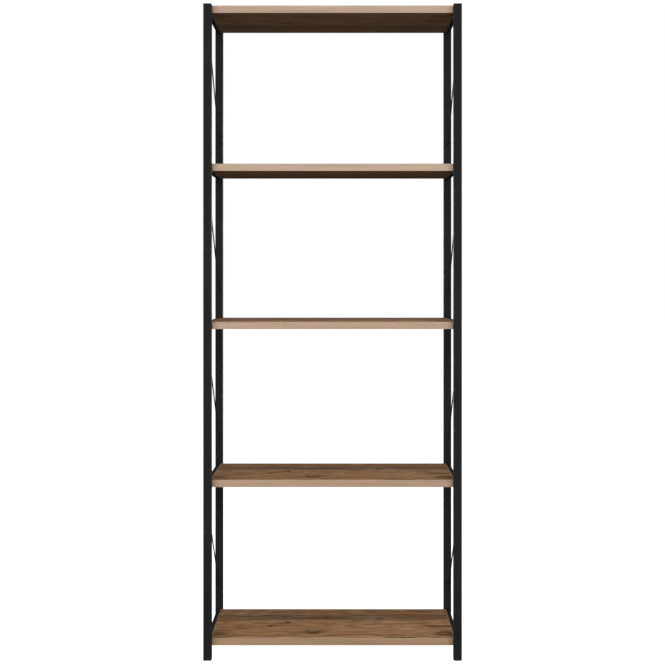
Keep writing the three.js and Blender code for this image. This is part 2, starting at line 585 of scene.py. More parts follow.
class Effect:
    """A shader node group that several materials or features use, built once.

    Attributes:
        name: The group's name.
        inputs: What each input is when nothing is fed to it, or None for a vector.
        outputs: What comes out, all of it plain values.
    """

    name = "effect"
    inputs: dict[str, float | None] = {}
    outputs: tuple[str, ...] = ()

    def __init__(self) -> None:
        """Build the group's sockets and wire its inside."""
        self.tree = bpy.data.node_groups.new(self.name, "ShaderNodeTree")
        for label, value in self.inputs.items():
            kind = "NodeSocketVector" if value is None else "NodeSocketFloat"
            socket = self.tree.interface.new_socket(label, in_out="INPUT", socket_type=kind)
            if value is not None:
                socket.default_value = value
        for label in self.outputs:
            self.tree.interface.new_socket(label, in_out="OUTPUT", socket_type="NodeSocketFloat")
        graph = Graph(self.tree)
        source = graph.node("NodeGroupInput").outputs
        target = graph.node("NodeGroupOutput").inputs
        for label, socket in self.wire(graph, source).items():
            graph.feed(target[label], socket)

    def wire(self, graph: Graph, source: bpy.types.NodeOutputs) -> dict[str, Socket]:
        """Wire the inside and name what comes out; each effect has its own."""
        raise NotImplementedError


class FeatureEffect(Effect):
    """A feature at one place in the decor; each kind has its own inside."""

    inputs = {
        "Along": 0.0,
        "Across": 0.0,
        "Feature Along": 0.0,
        "Feature Across": 0.0,
        "Half Length": 0.01,
        "Half Width": 0.005,
    }

    def part(self, graph: Graph, source: bpy.types.NodeOutputs) -> tuple[Socket, Socket]:
        """Wire how far a point is from the feature's middle.

        Args:
            graph: The group's graph.
            source: What comes into the group.

        Returns:
            How far along it is in half lengths, and how far aside in metres.
        """
        ahead = graph.minus(source["Along"], source["Feature Along"])
        aside = graph.minus(source["Across"], source["Feature Across"])
        return graph.math("DIVIDE", ahead, source["Half Length"]), aside


class KnotEffect(FeatureEffect):
    """A knot in a board: its dark heart, a halo, and how far it pushes the grain aside."""

    name = "grain_knot"
    outputs = ("Heart", "Halo", "Push")
    heart_rim = (1.6, 0.4)
    halo_base = 2.7183
    halo_fall = -0.16
    push = -0.9

    def wire(self, graph: Graph, source: bpy.types.NodeOutputs) -> dict[str, Socket]:
        """Wire a soft ellipse and the sideways push round it."""
        u, aside = self.part(graph, source)
        v = graph.math("DIVIDE", aside, source["Half Width"])
        spread = graph.add(graph.times(u, u), graph.times(v, v))
        heart = graph.ramp(spread, *self.heart_rim)
        halo = graph.math("POWER", self.halo_base, graph.times(spread, self.halo_fall))
        pushed = graph.times(graph.times(v, halo), source["Half Width"])
        return {"Heart": heart, "Halo": halo, "Push": graph.times(pushed, self.push)}


class CrackEffect(FeatureEffect):
    """A short curved crack or mineral line along the grain."""

    name = "grain_crack"
    inputs = {**FeatureEffect.inputs, "Sag": 0.0}
    outputs = ("Line",)
    least_taper = 0.08
    end_fade = (1.0, 0.5)
    side_fade = (1.0, 0.2)

    def wire(self, graph: Graph, source: bpy.types.NodeOutputs) -> dict[str, Socket]:
        """Wire a thin line that narrows and fades towards its ends."""
        u, aside = self.part(graph, source)
        square = graph.times(u, u)
        bow = graph.times(square, source["Sag"])
        narrowed = graph.minus(1.0, graph.times(square, square))
        taper = graph.math("MAXIMUM", narrowed, self.least_taper)
        reach = graph.times(source["Half Width"], taper)
        v = graph.math("DIVIDE", graph.minus(aside, bow), reach)
        length = graph.ramp(square, *self.end_fade)
        width = graph.ramp(graph.math("ABSOLUTE", v), *self.side_fade)
        return {"Line": graph.times(length, width)}


class StreakEffect(Effect):
    """Wood streaks that run along X: broad bands, fine lines and short dark pores."""

    name = "wood_streaks"
    inputs = {"Along": 0.0, "Across": 0.0, "Seed": 0.0}
    outputs = ("Broad", "Fine", "Pores")
    figures = {
        "Broad": Figure(1.6, 55.0, 3.0, 0.28, 0.72),
        "Fine": Figure(7.0, 520.0, 2.0, 0.25, 0.75),
        "Pores": Figure(70.0, 1500.0, 1.0, 0.66, 0.74),
    }

    def wire(self, graph: Graph, source: bpy.types.NodeOutputs) -> dict[str, Socket]:
        """Wire three noises, each stretched along the grain by its own measure."""
        place = [source[label] for label in self.inputs]
        return {label: figure.show(graph, *place) for label, figure in self.figures.items()}


class WearAndHighlightEffect(Effect):
    """Where an outer edge is worn and gets a painted highlight: sharp outward edges, broken up by a noise.
    """

    name = "edge_wear_and_highlight"
    inputs = {"Vector": None, "Grain": 300.0}
    outputs = ("Rub",)
    sharp = (0.52, 0.62)
    broken = (0.42, 0.66)

    def wire(self, graph: Graph, source: bpy.types.NodeOutputs) -> dict[str, Socket]:
        """Wire the outward curve of the mesh against a noise."""
        # sharp outward edges are lightened by this mask: worn edges, partly a painted highlight
        edge = graph.ramp(graph.node("ShaderNodeNewGeometry").outputs["Pointiness"], *self.sharp)
        places = graph.ramp(graph.noise(source["Vector"], source["Grain"]), *self.broken)
        return {"Rub": graph.times(edge, places)}


class SkinEffect(Effect):
    """The skin of a cured coating or a moulding: a fine dimple and a slow drift of its gloss."""

    name = "coating_skin"
    inputs = {"Vector": None, "Dimple": 900.0, "Drift": 12.0}
    outputs = ("Height", "Mottle")
    octaves = {"Dimple": 1.0, "Drift": 3.0}

    def wire(self, graph: Graph, source: bpy.types.NodeOutputs) -> dict[str, Socket]:
        """Wire a fine and a coarse noise."""
        noises = (graph.noise(source["Vector"], source[key], much) for key, much in self.octaves.items())
        return dict(zip(self.outputs, noises))


class DustEffect(Effect):
    """A trace of dust that settles on faces that look up."""

    name = "settled_dust"
    inputs = {"Vector": None, "Amount": 0.1}
    outputs = ("Film",)
    patch_noise = (38.0, 4.0, 0.6)
    patch_rim = (0.35, 0.75)
    level_enough = (0.55, 0.95)

    def wire(self, graph: Graph, source: bpy.types.NodeOutputs) -> dict[str, Socket]:
        """Wire the face's upward look against a patchy noise."""
        patches = graph.ramp(graph.noise(source["Vector"], *self.patch_noise), *self.patch_rim)
        film = graph.times(graph.ramp(graph.upward(), *self.level_enough), patches)
        return {"Film": graph.times(film, source["Amount"])}


@dataclass(frozen=True)
class Effects:
    """The shader groups that the finishes share."""

    knot: bpy.types.NodeTree
    crack: bpy.types.NodeTree
    streaks: bpy.types.NodeTree
    wear_and_highlight: bpy.types.NodeTree
    skin: bpy.types.NodeTree
    dust: bpy.types.NodeTree

    @staticmethod
    def build() -> "Effects":
        """Build every group once."""
        return Effects(
            knot=KnotEffect().tree,
            crack=CrackEffect().tree,
            streaks=StreakEffect().tree,
            wear_and_highlight=WearAndHighlightEffect().tree,
            skin=SkinEffect().tree,
            dust=DustEffect().tree,
        )


# ---------------------------------------------------------------------------------------- finishes


@dataclass(frozen=True)
class Finish:
    """What every finish has: a name, its plain colour and how it takes the light.

    Attributes:
        name: The material's name.
        colour: Its plain colour.
        roughness: How rough it is.
        gloss: How strongly it mirrors head on.
    """

    name: str
    colour: Colour
    roughness: float
    gloss: float

    def start(self) -> tuple[Material, Graph, bpy.types.Node]:
        """Make the material with its surface shader.

        Returns:
            The material, its graph and its surface shader.
        """
        material = bpy.data.materials.new(self.name)
        material.use_nodes = True
        material.node_tree.nodes.clear()
        graph = Graph(material.node_tree)
        surface = graph.node("ShaderNodeBsdfPrincipled")
        surface.inputs["Specular IOR Level"].default_value = self.gloss
        output = graph.node("ShaderNodeOutputMaterial")
        graph.feed(output.inputs["Surface"], surface.outputs["BSDF"])
        material.diffuse_color = (*self.colour, 1.0)
        return material, graph, surface

    def stained(self, graph: Graph, colour: Feed, stains: Sequence[tuple[Feed, Stain]]) -> Feed:
        """Lay stains over a colour, one after another.

        Args:
            graph: The material's graph.
            colour: The colour underneath.
            stains: Each stain with the mask of where it lies.

        Returns:
            The colour with all of them.
        """
        for mask, stain in stains:
            colour = stain.lay(graph, mask, colour)
        return colour


@dataclass(frozen=True)
class BlackCoat(Finish):
    """A black skin over steel or plastic, with its dimple, drift, worn edges that carry a painted highlight,
    and dust.

    Attributes:
        rubbed_and_highlight: The lighter colour of a worn edge, partly a painted highlight.
        dimple: Dimples per metre.
        relief: The depth of a dimple.
        metal: How metallic it is.
        dust: How much dust lies on it.
        wear_and_highlight: How much of the lighter edge colour a worn edge takes, partly as a painted
            highlight.
        wear_and_highlight_grain: The worn, highlighted places per metre.
        mottle: How far its colour drifts to either side.
        gloss_drift: How far its roughness drifts.
        polish: How much smoother a worn edge is.
        dust_colour: The colour of dust.
        relief_strength: How much the relief tells in the shading.
    """

    rubbed_and_highlight: Colour = (0.03, 0.03, 0.031)
    dimple: float = 900.0
    relief: float = 0.10 * MM
    metal: float = 0.0
    dust: float = 0.02
    wear_and_highlight: float = 0.30
    wear_and_highlight_grain: float = 45.0
    mottle: float = 0.14
    gloss_drift: float = 0.16
    polish: float = 0.12
    dust_colour: Colour = (0.34, 0.32, 0.29)
    relief_strength: float = 0.5

    def build(self, effects: Effects) -> Material:
        """Wire the coat and return its material."""
        material, graph, surface = self.start()
        where = graph.place()
        skin = graph.effect(effects.skin, Vector=where, Dimple=self.dimple)
        rub_and_highlight = graph.effect(effects.wear_and_highlight, Vector=where, Grain=self.wear_and_highlight_grain)["Rub"]
        film = graph.effect(effects.dust, Vector=where, Amount=self.dust)["Film"]
        dark = tuple((1.0 - self.mottle) * part for part in self.colour)
        light = tuple((1.0 + self.mottle) * part for part in self.colour)
        tint = graph.colours(skin["Mottle"], ((0.35, dark), (0.65, light)))
        # lighter sharp edges: worn, and partly a painted highlight
        tint = Stain(self.rubbed_and_highlight, self.wear_and_highlight).lay(graph, rub_and_highlight, tint)
        tint = Stain(self.dust_colour).lay(graph, film, tint)
        graph.feed(surface.inputs["Base Color"], tint)
        surface.inputs["Metallic"].default_value = self.metal
        middle = self.roughness - self.gloss_drift / 2
        rough = graph.math("MULTIPLY_ADD", skin["Mottle"], self.gloss_drift, middle)
        rough = graph.math("MULTIPLY_ADD", rub_and_highlight, -self.polish, rough)
        graph.feed(surface.inputs["Roughness"], graph.add(rough, film))
        relief = graph.bump(skin["Height"], self.relief_strength, self.relief)
        graph.feed(surface.inputs["Normal"], relief)
        return material


@dataclass(frozen=True)
class Feature:
    """A feature of the decor.

    Attributes:
        along: Its place along the board.
        across: Its place across the board.
        half_length: Its half length.
        half_width: Its half width.
    """

    along: float
    across: float
    half_length: float
    half_width: float

    def stamp(
        self, graph: Graph, tree: bpy.types.NodeTree, along: Socket, across: Socket, **more: Feed
    ) -> bpy.types.NodeOutputs:
        """Wire the feature's group at its place.

        Args:
            graph: The material's graph.
            tree: The feature's group.
            along: The shaded point's place along the board.
            across: Its place across the board.
            **more: What else the group is fed.

        Returns:
            What comes out of the group.
        """
        return graph.effect(
            tree,
            Along=along,
            Across=across,
            Feature_Along=self.along,
            Feature_Across=self.across,
            Half_Length=self.half_length,
            Half_Width=self.half_width,
            **more,
        )


@dataclass(frozen=True)
class Knot(Feature):
    """A knot in the decor.

    Attributes:
        depth: How dark the heart is, from 0 to 1.
        shade: How dark the halo is, from 0 to 1.
        bleach: How pale the halo is, from 0 to 1.
    """

    depth: float = 1.0
    shade: float = 0.3
    bleach: float = 0.0


@dataclass(frozen=True)
class Crack(Feature):
    """A crack or mineral line in the decor.

    Attributes:
        sag: How far its ends bend aside.
        depth: How dark it is, from 0 to 1.
    """

    sag: float = 0.0
    depth: float = 1.0


@dataclass(frozen=True)
class WoodDecor(Finish):
    """The boards' brown wood decor: flowing streaks, a grey band, knots, cracks and mineral lines, with
    painted shade on the undersides.

    Attributes:
        knots: The knots of the decor.
        cracks: Its cracks and mineral lines.
        joint: Where the grey stave starts, across the board.
        rear_joint: Where the dark rear stave starts.
        joint_blur: Half the width over which the grey stave starts.
        rear_blur: Half the width over which the rear stave starts.
        tones: The wood's colours from its dark to its pale streaks.
        broad_share: How much the broad streaks tell in the tone.
        fine_share: How much the fine streaks tell.
        flame_share: How much the flames tell.
        ring_share: How much the arched rings tell.
        flame: The flames between broad and fine streaks.
        tear: The ragged noise that frays the cracks' edges.
        fray: How wide the cracks' edges are frayed.
        slow_drift: The slow wandering of the grain.
        slow_sway: How wide it is.
        quick_drift: Its small waves.
        quick_sway: How wide they are.
        patch: The warm patches, as widening across the grain, scale, octaves and what shows.
        olive_figure: The olive streaks.
        ring_wobble: The noise that makes the rings uneven.
        ring_waves: How much it does.
        ring_arch: How strongly the rings are arched.
        ring_pitch: The distance between two rings.
        under_seed: How far the grain below differs from the grain above.
        fine_gloss: How much smoother the fine streaks are.
        line_dullness: How much rougher a crack is.
        fine_height: How far the fine streaks stand up, as a share of the relief.
        pore_depth: How deep a pore is, as a share of the relief.
        relief_strength: How much the relief tells in the shading.
        relief: Its depth.

    The stains follow in the order in which they are laid, each named for what it colours.
    """

    knots: tuple[Knot, ...] = (
        Knot(-0.115, 0.005, 0.0080, 0.0080, 1.00, 0.25),
        Knot(-0.158, -0.026, 0.0050, 0.0062, 0.95, 0.10),
        Knot(-0.050, -0.074, 0.0150, 0.0110, 0.15, 0.42),
        Knot(0.120, 0.037, 0.0135, 0.0060, 0.95, 0.0, 0.45),
        Knot(-0.290, -0.090, 0.0180, 0.0170, 0.40, 0.40),
        Knot(-0.016, 0.044, 0.0200, 0.0090, 0.45, 0.35),
        Knot(-0.136, 0.062, 0.0300, 0.0100, 0.10, 0.15, 0.25),
        Knot(0.305, -0.088, 0.0200, 0.0160, 0.45, 0.50),
    )
    cracks: tuple[Crack, ...] = (
        Crack(-0.050, -0.086, 0.0170, 0.0070, 0.014, 1.0),
        Crack(-0.064, -0.066, 0.0075, 0.0062, -0.003, 0.95),
        Crack(-0.036, -0.066, 0.0090, 0.0056, 0.004, 0.75),
        Crack(-0.121, 0.000, 0.0140, 0.0056, -0.008, 0.85),
        Crack(0.038, -0.027, 0.0120, 0.0052, -0.001, 0.80),
        Crack(0.091, -0.014, 0.0200, 0.0034, 0.003, 0.45),
        Crack(0.060, -0.030, 0.0120, 0.0030, 0.002, 0.35),
        Crack(0.276, -0.028, 0.0520, 0.0110, 0.004, 1.00),
        Crack(0.284, -0.078, 0.0300, 0.0110, -0.006, 0.75),
        Crack(0.276, -0.100, 0.0340, 0.0080, 0.004, 0.55),
        Crack(0.165, -0.121, 0.0460, 0.0070, 0.001, 1.00),
        Crack(-0.165, 0.067, 0.0280, 0.0058, 0.003, 0.90),
        Crack(-0.118, 0.058, 0.0210, 0.0066, -0.004, 0.85),
        Crack(-0.140, 0.046, 0.0320, 0.0052, 0.004, 0.65),
        Crack(-0.085, 0.065, 0.0190, 0.0050, 0.002, 0.75),
        Crack(-0.070, 0.044, 0.0270, 0.0062, -0.005, 0.60),
        Crack(-0.030, 0.053, 0.0230, 0.0048, 0.003, 0.45),
        Crack(-0.150, 0.100, 0.0260, 0.0050, -0.006, 0.45),
        Crack(-0.060, 0.092, 0.0300, 0.0048, 0.004, 0.35),
        Crack(0.190, 0.060, 0.0360, 0.0050, 0.003, 0.35),
    )
    joint: float = 0.022
    rear_joint: float = 0.074
    joint_blur: float = 1.0 * MM
    rear_blur: float = 1.5 * MM
    tones: tuple[Stop, ...] = (
        (0.18, (0.170, 0.080, 0.032)),
        (0.41, (0.350, 0.185, 0.086)),
        (0.59, (0.470, 0.263, 0.132)),
        (0.82, (0.640, 0.393, 0.216)),
    )
    broad_share: float = 0.28
    fine_share: float = 0.18
    flame_share: float = 0.34
    ring_share: float = 0.20
    flame: Figure = Figure(24.0, 85.0, 3.0, 0.30, 0.70)
    tear: Figure = Figure(90.0, 210.0, seed=6.0)
    fray: float = 6.0 * MM
    slow_drift: Figure = Figure(2.6, 9.0, seed=3.0)
    slow_sway: float = 0.040
    quick_drift: Figure = Figure(14.0, 40.0, seed=5.0)
    quick_sway: float = 0.010
    patch: tuple[float, float, float, float, float] = (3.0, 7.0, 2.0, 0.40, 0.66)
    olive_figure: Figure = Figure(12.0, 60.0, 2.0, 0.50, 0.72, seed=9.0)
    ring_wobble: Figure = Figure(5.0, 26.0, 3.0, seed=8.0)
    ring_waves: float = 7.0
    ring_arch: float = 0.16
    ring_pitch: float = 0.021
    under_seed: float = 3.7
    fine_gloss: float = 0.10
    line_dullness: float = 0.2
    fine_height: float = 0.4
    pore_depth: float = 0.5
    relief_strength: float = 0.6
    relief: float = 0.12 * MM
    warm: Stain = Stain((0.425, 0.190, 0.076), 0.46)
    olive: Stain = Stain((0.330, 0.212, 0.098), 0.42)
    rear_stave: Stain = Stain((0.58, 0.52, 0.46), 0.62, "MULTIPLY")
    grey_stave: Stain = Stain((0.44, 0.46, 0.50), 0.80, "MULTIPLY")
    # painted shade: faces that look down are laid darker and cooler
    underside: Stain = Stain((0.84, 0.90, 0.98), 1.0, "MULTIPLY")
    pale_halo: Stain = Stain((0.340, 0.265, 0.200), 0.8)
    dark_halo: Stain = Stain((0.150, 0.072, 0.032))
    pores: Stain = Stain((0.120, 0.060, 0.028), 0.40)
    heart: Stain = Stain((0.078, 0.034, 0.013), 0.90)
    crack_line: Stain = Stain((0.088, 0.038, 0.014), 0.92)
    faded: Stain = Stain((0.330, 0.200, 0.118), 0.50)

    def build(self, effects: Effects) -> Material:
        """Wire the decor and return its material."""
        material, graph, surface = self.start()
        along, across, _ = graph.split(graph.place())
        below = graph.math("LESS_THAN", graph.upward(), -0.5)
        side = graph.math("MULTIPLY_ADD", below, self.under_seed, 1.0)
        hearts, shades, bleaches, pushes = self.knotted(graph, effects, along, across)
        flow = graph.add(across, self.drift(graph, along, across), pushes)
        torn = graph.add(across, graph.centred(self.tear.read(graph, along, across), self.fray))
        lines = graph.most(
            [
                graph.times(
                    crack.stamp(graph, effects.crack, along, torn, Sag=crack.sag)["Line"], crack.depth
                )
                for crack in self.cracks
            ]
        )
        streaks = graph.effect(effects.streaks, Along=along, Across=flow, Seed=side)
        tone = graph.add(
            graph.times(streaks["Broad"], self.broad_share),
            graph.times(streaks["Fine"], self.fine_share),
            graph.times(self.flame.show(graph, along, flow, side), self.flame_share),
            graph.times(self.cathedral(graph, along, flow), self.ring_share),
        )
        widen, scale, octaves, low, high = self.patch
        patch_place = graph.point(along, graph.times(flow, widen), side)
        patches = graph.ramp(graph.noise(patch_place, scale, octaves), low, high)
        rear = self.stave(graph, across, self.rear_joint, self.rear_blur)
        grey = self.stave(graph, across, self.joint, self.joint_blur)
        stains = (
            (patches, self.warm),
            (self.olive_figure.show(graph, along, flow), self.olive),
            (rear, self.rear_stave),
            (graph.times(grey, graph.minus(1.0, rear)), self.grey_stave),
            # painted shade on the faces that look down
            (below, self.underside),
            (bleaches, self.pale_halo),
            (shades, self.dark_halo),
            (streaks["Pores"], self.pores),
            (hearts, self.heart),
            (lines, self.crack_line),
            (below, self.faded),
        )
        colour = self.stained(graph, graph.colours(tone, self.tones), stains)
        graph.feed(surface.inputs["Base Color"], colour)
        middle = self.roughness + self.fine_gloss / 2
        rough = graph.math("MULTIPLY_ADD", streaks["Fine"], -self.fine_gloss, middle)
        rough = graph.math("MULTIPLY_ADD", lines, self.line_dullness, rough)
        graph.feed(surface.inputs["Roughness"], rough)
        raised = graph.times(streaks["Fine"], self.fine_height)
        relief = graph.minus(raised, graph.times(streaks["Pores"], self.pore_depth))
        relief = graph.minus(relief, graph.math("MAXIMUM", lines, hearts))
        graph.feed(surface.inputs["Normal"], graph.bump(relief, self.relief_strength, self.relief))
        return material

    def stave(self, graph: Graph, across: Socket, joint: float, blur: float) -> Socket:
        """Wire where a stave lies, from its joint to the rear."""
        return graph.ramp(across, joint - blur, joint + blur)

    def drift(self, graph: Graph, along: Socket, across: Socket) -> Socket:
        """Wire how far the grain wanders sideways, slowly and in small waves."""
        slow = graph.centred(self.slow_drift.read(graph, along, across), self.slow_sway)
        quick = graph.centred(self.quick_drift.read(graph, along, across), self.quick_sway)
        return graph.add(slow, quick)

    def knotted(
        self, graph: Graph, effects: Effects, along: Socket, across: Socket
    ) -> tuple[Feed, Feed, Feed, Feed]:
        """Wire every knot.

        Args:
            graph: The material's graph.
            effects: The shared groups.
            along: The place along the board.
            across: The place across the board.

        Returns:
            How dark the hearts are, how dark and how pale the halos are, and the grain's push.
        """
        made = [knot.stamp(graph, effects.knot, along, across) for knot in self.knots]
        hearts = graph.most([graph.times(out["Heart"], k.depth) for out, k in zip(made, self.knots)])
        shades = graph.most([graph.times(out["Halo"], k.shade) for out, k in zip(made, self.knots)])
        bleaches = graph.most([graph.times(out["Halo"], k.bleach) for out, k in zip(made, self.knots)])
        return hearts, shades, bleaches, graph.add(0.0, *(out["Push"] for out in made))

    def cathedral(self, graph: Graph, along: Socket, flow: Socket) -> Socket:
        """Wire the wide arched rings of a flat-sawn board."""
        arch = graph.times(graph.times(along, along), self.ring_arch)
        rings = graph.times(graph.add(flow, arch), 2.0 * math.pi / self.ring_pitch)
        wobble = self.ring_wobble.read(graph, along, flow)
        wave = graph.math("SINE", graph.math("MULTIPLY_ADD", wobble, self.ring_waves, rings))
        return graph.math("MULTIPLY_ADD", wave, 0.5, 0.5)


@dataclass(frozen=True)
class BandPrint(Finish):
    """The pale printed edge band: pinkish and yellowish patches, faint streaks, trimmed arrises laid
    lighter, partly as a painted highlight.

    Attributes:
        pitch: The height between two boards, so that each band reads its own height.
        foot: The height of the lowest band's underside.
        slack: How far below its underside a point still counts to a band.
        level_seed: How far the print differs from one band to the next.
        patch: The pinkish patches.
        pinkish: The colour between the patches.
        broad_share: How much the broad streaks tell in the tone.
        dark_tone: The tones between which the dark stain sets in.
        light_tone: The tones between which the light stain sets in.
        fine_gloss: How much smoother the fine streaks are.
        rub_dullness: How much rougher a worn arris is.
        fine_height: How far the fine streaks stand up, as a share of the relief.
        relief_strength: How much the relief tells in the shading.
        relief: Its depth.

    The stains follow in the order in which they are laid, each named for what it colours.
    """

    pitch: float = 0.388
    foot: float = 0.03
    slack: float = 0.1
    level_seed: float = 2.3
    patch: Figure = Figure(9.0, 60.0, 2.0, 0.36, 0.64)
    pinkish: Colour = (0.400, 0.232, 0.150)
    broad_share: float = 0.6
    dark_tone: tuple[float, float] = (0.46, 0.12)
    light_tone: tuple[float, float] = (0.56, 0.88)
    fine_gloss: float = 0.08
    rub_dullness: float = 0.15
    fine_height: float = 0.5
    relief_strength: float = 0.5
    relief: float = 0.06 * MM
    yellowish: Stain = Stain((0.352, 0.236, 0.119))
    darker: Stain = Stain((0.285, 0.172, 0.094))
    lighter: Stain = Stain((0.455, 0.300, 0.190), 0.6)
    pores: Stain = Stain((0.17, 0.10, 0.06), 0.30)
    rubbed_and_highlight: Stain = Stain((0.52, 0.39, 0.27), 0.35)

    def build(self, effects: Effects) -> Material:
        """Wire the print and return its material."""
        material, graph, surface = self.start()
        where = graph.place()
        across, deep, height = graph.split(where)
        along = graph.add(across, deep)
        above = graph.minus(height, self.foot)
        level = graph.math("FLOOR", graph.math("DIVIDE", graph.add(above, self.slack), self.pitch))
        local = graph.math("MULTIPLY_ADD", level, -self.pitch, above)
        seed = graph.times(level, self.level_seed)
        streaks = graph.effect(effects.streaks, Along=along, Across=local, Seed=seed)
        broad = graph.times(streaks["Broad"], self.broad_share)
        tone = graph.add(broad, graph.times(streaks["Fine"], 1.0 - self.broad_share))
        rub_and_highlight = graph.effect(effects.wear_and_highlight, Vector=where)["Rub"]
        stains = (
            (self.patch.show(graph, along, local, level), self.yellowish),
            (graph.ramp(tone, *self.dark_tone), self.darker),
            (graph.ramp(tone, *self.light_tone), self.lighter),
            (streaks["Pores"], self.pores),
            # lighter arrises: worn, and partly a painted highlight
            (rub_and_highlight, self.rubbed_and_highlight),
        )
        graph.feed(surface.inputs["Base Color"], self.stained(graph, self.pinkish, stains))
        middle = self.roughness + self.fine_gloss / 2
        rough = graph.math("MULTIPLY_ADD", streaks["Fine"], -self.fine_gloss, middle)
        rough = graph.math("MULTIPLY_ADD", rub_and_highlight, self.rub_dullness, rough)
        graph.feed(surface.inputs["Roughness"], rough)
        relief = graph.minus(graph.times(streaks["Fine"], self.fine_height), streaks["Pores"])
        graph.feed(surface.inputs["Normal"], graph.bump(relief, self.relief_strength, self.relief))
        return material


# ------------------------------------------------------------------------------------- side frames


@dataclass
class SquareTube:
    """A length of square or flat steel tube with drawn corners and open ends.

    Attributes:
        wall: The wall's thickness.
        corner: The outer corner's radius.
        arc: The faces round a corner.
        margin: The narrow strip beside each corner, which keeps the worn, highlighted strip close to the
            edge.
        flat: How large a face is against the largest one, at least, to be a flat side.
    """

    wall: float
    corner: float
    arc: int = 5
    margin: float = 0.9 * MM
    flat: float = 0.35

    def build(self, name: str, low: Vector, high: Vector, axis: int) -> Piece:
        """Draw the tube between two corners.

        Args:
            name: The piece's name.
            low: The lowest corner.
            high: The highest corner.
            axis: The axis that the tube runs along.

        Returns:
            The tube.
        """
        tube = Bench.block(name, low, high)
        Bench.soften(tube, lambda edge: runs_along(edge, axis), self.corner, self.arc)
        Bench.pick(tube, "FACE", lambda face: abs(face.normal[axis]) > 0.9)
        bpy.ops.mesh.delete(type="FACE")
        Bench.clear()
        widest = max(face.area for face in tube.data.polygons)
        Bench.pick(tube, "FACE", lambda face: face.calc_area() > self.flat * widest)
        bpy.ops.mesh.inset(thickness=self.margin, use_individual=True)
        Bench.clear()
        Bench.modify(tube, "SOLIDIFY", thickness=self.wall, offset=-1.0, use_even_offset=True)
        Bench.shade(tube)
        return tube


@dataclass
class BentRod:
    """A round steel rod, straight from the rear post, bent up at its knee to the front post.

    Attributes:
        bend: The radius of the knee's centre line.
        sides: The faces round the rod.
        steps: The steps of the knee.
    """

    bend: float = 6.0 * MM
    sides: int = 16
    steps: int = 6

    def build(self, name: str, low: Vector, high: Vector) -> Piece:
        """Bend the rod inside its box.

        Args:
            name: The piece's name.
            low: The lowest corner of its box.
            high: The highest corner of its box.

        Returns:
            The rod.
        """
        radius = (high.x - low.x) / 2
        foot = low.z + radius
        rise = math.pi / 4
        top = high.z - radius / math.cos(rise)
        knee = low.y + (top - foot)
        setback = self.bend * math.tan(rise / 2)
        start = Vector(((low.x + high.x) / 2, high.y, foot))
        rod = Bench.disc(name, start, radius, Y, self.sides)
        Bench.extrude(Vector((0.0, knee + setback - high.y, 0.0)))
        bpy.ops.mesh.spin(
            steps=self.steps,
            angle=rise,
            center=(start.x, knee + setback, foot + self.bend),
            axis=(1.0, 0.0, 0.0),
        )
        reach = (knee - low.y) - setback * math.cos(rise)
        Bench.extrude(Vector((0.0, -reach, reach)))
        Bench.clear()
        Bench.pick(rod, "VERT", lambda vertex: vertex.co.y < low.y + 2 * radius)
        mesh = bmesh.from_edit_mesh(rod.data)
        for vertex in mesh.verts:
            if vertex.select:
                slide = low.y - vertex.co.y
                vertex.co += Vector((0.0, slide, -slide))
        bmesh.update_edit_mesh(rod.data)
        Bench.turn_out(rod)
        Bench.shade(rod, 40.0)
        return rod


@dataclass
class WeldBead:
    """A fillet bead with the ripple of its run.

    Attributes:
        radius: The bead's radius.
        ripples: The ripples along it.
        sides: The faces round it.
        start: The radius at which it starts, as a share of its own.
        rise: How much its first step swells to its full radius.
        ripple: How much each ripple swells.
        end: How much its last step shrinks.
    """

    radius: float = 1.5 * MM
    ripples: int = 14
    sides: int = 10
    start: float = 0.55
    rise: float = 1.6
    ripple: float = 1.13
    end: float = 0.6

    def build(self, name: str, length: float) -> Piece:
        """Run a bead of a length up from the origin along Z."""
        bead = Bench.disc(name, ORIGIN, self.start * self.radius, Z, self.sides)
        step = Vector((0.0, 0.0, length / (2 * self.ripples + 2)))
        for swell in (self.rise, *(self.ripple, 1 / self.ripple) * self.ripples, self.end):
            Bench.extrude(step, Vector((swell, swell, 1.0)))
        Bench.turn_out(bead)
        Bench.shade(bead, 60.0)
        return bead


@dataclass
class WeldCollar:
    """A small round weld where a rod's end meets a post's face, open towards +Y.

    Attributes:
        foot: The radius on the post.
        neck: The radius on the rod.
        rise: How far it reaches along the rod.
        sides: The faces round it.
        steps: The rings of its hollow flank.
    """

    foot: float = 3.0 * MM
    neck: float = 1.6 * MM
    rise: float = 2.0 * MM
    sides: int = 18
    steps: int = 4

    def build(self, name: str) -> Piece:
        """Raise the collar from a disc at the origin along +Y."""
        collar = Bench.disc(name, ORIGIN, self.foot, Y, self.sides)
        turns = [0.5 * math.pi * index / self.steps for index in range(1, self.steps + 1)]
        profile = [
            (self.rise * (1.0 - math.cos(turn)), self.foot - (self.foot - self.neck) * math.sin(turn))
            for turn in turns
        ]
        Bench.rings(Y, (0.0, self.foot), profile)
        Bench.turn_out(collar)
        Bench.shade(collar, 50.0)
        return collar


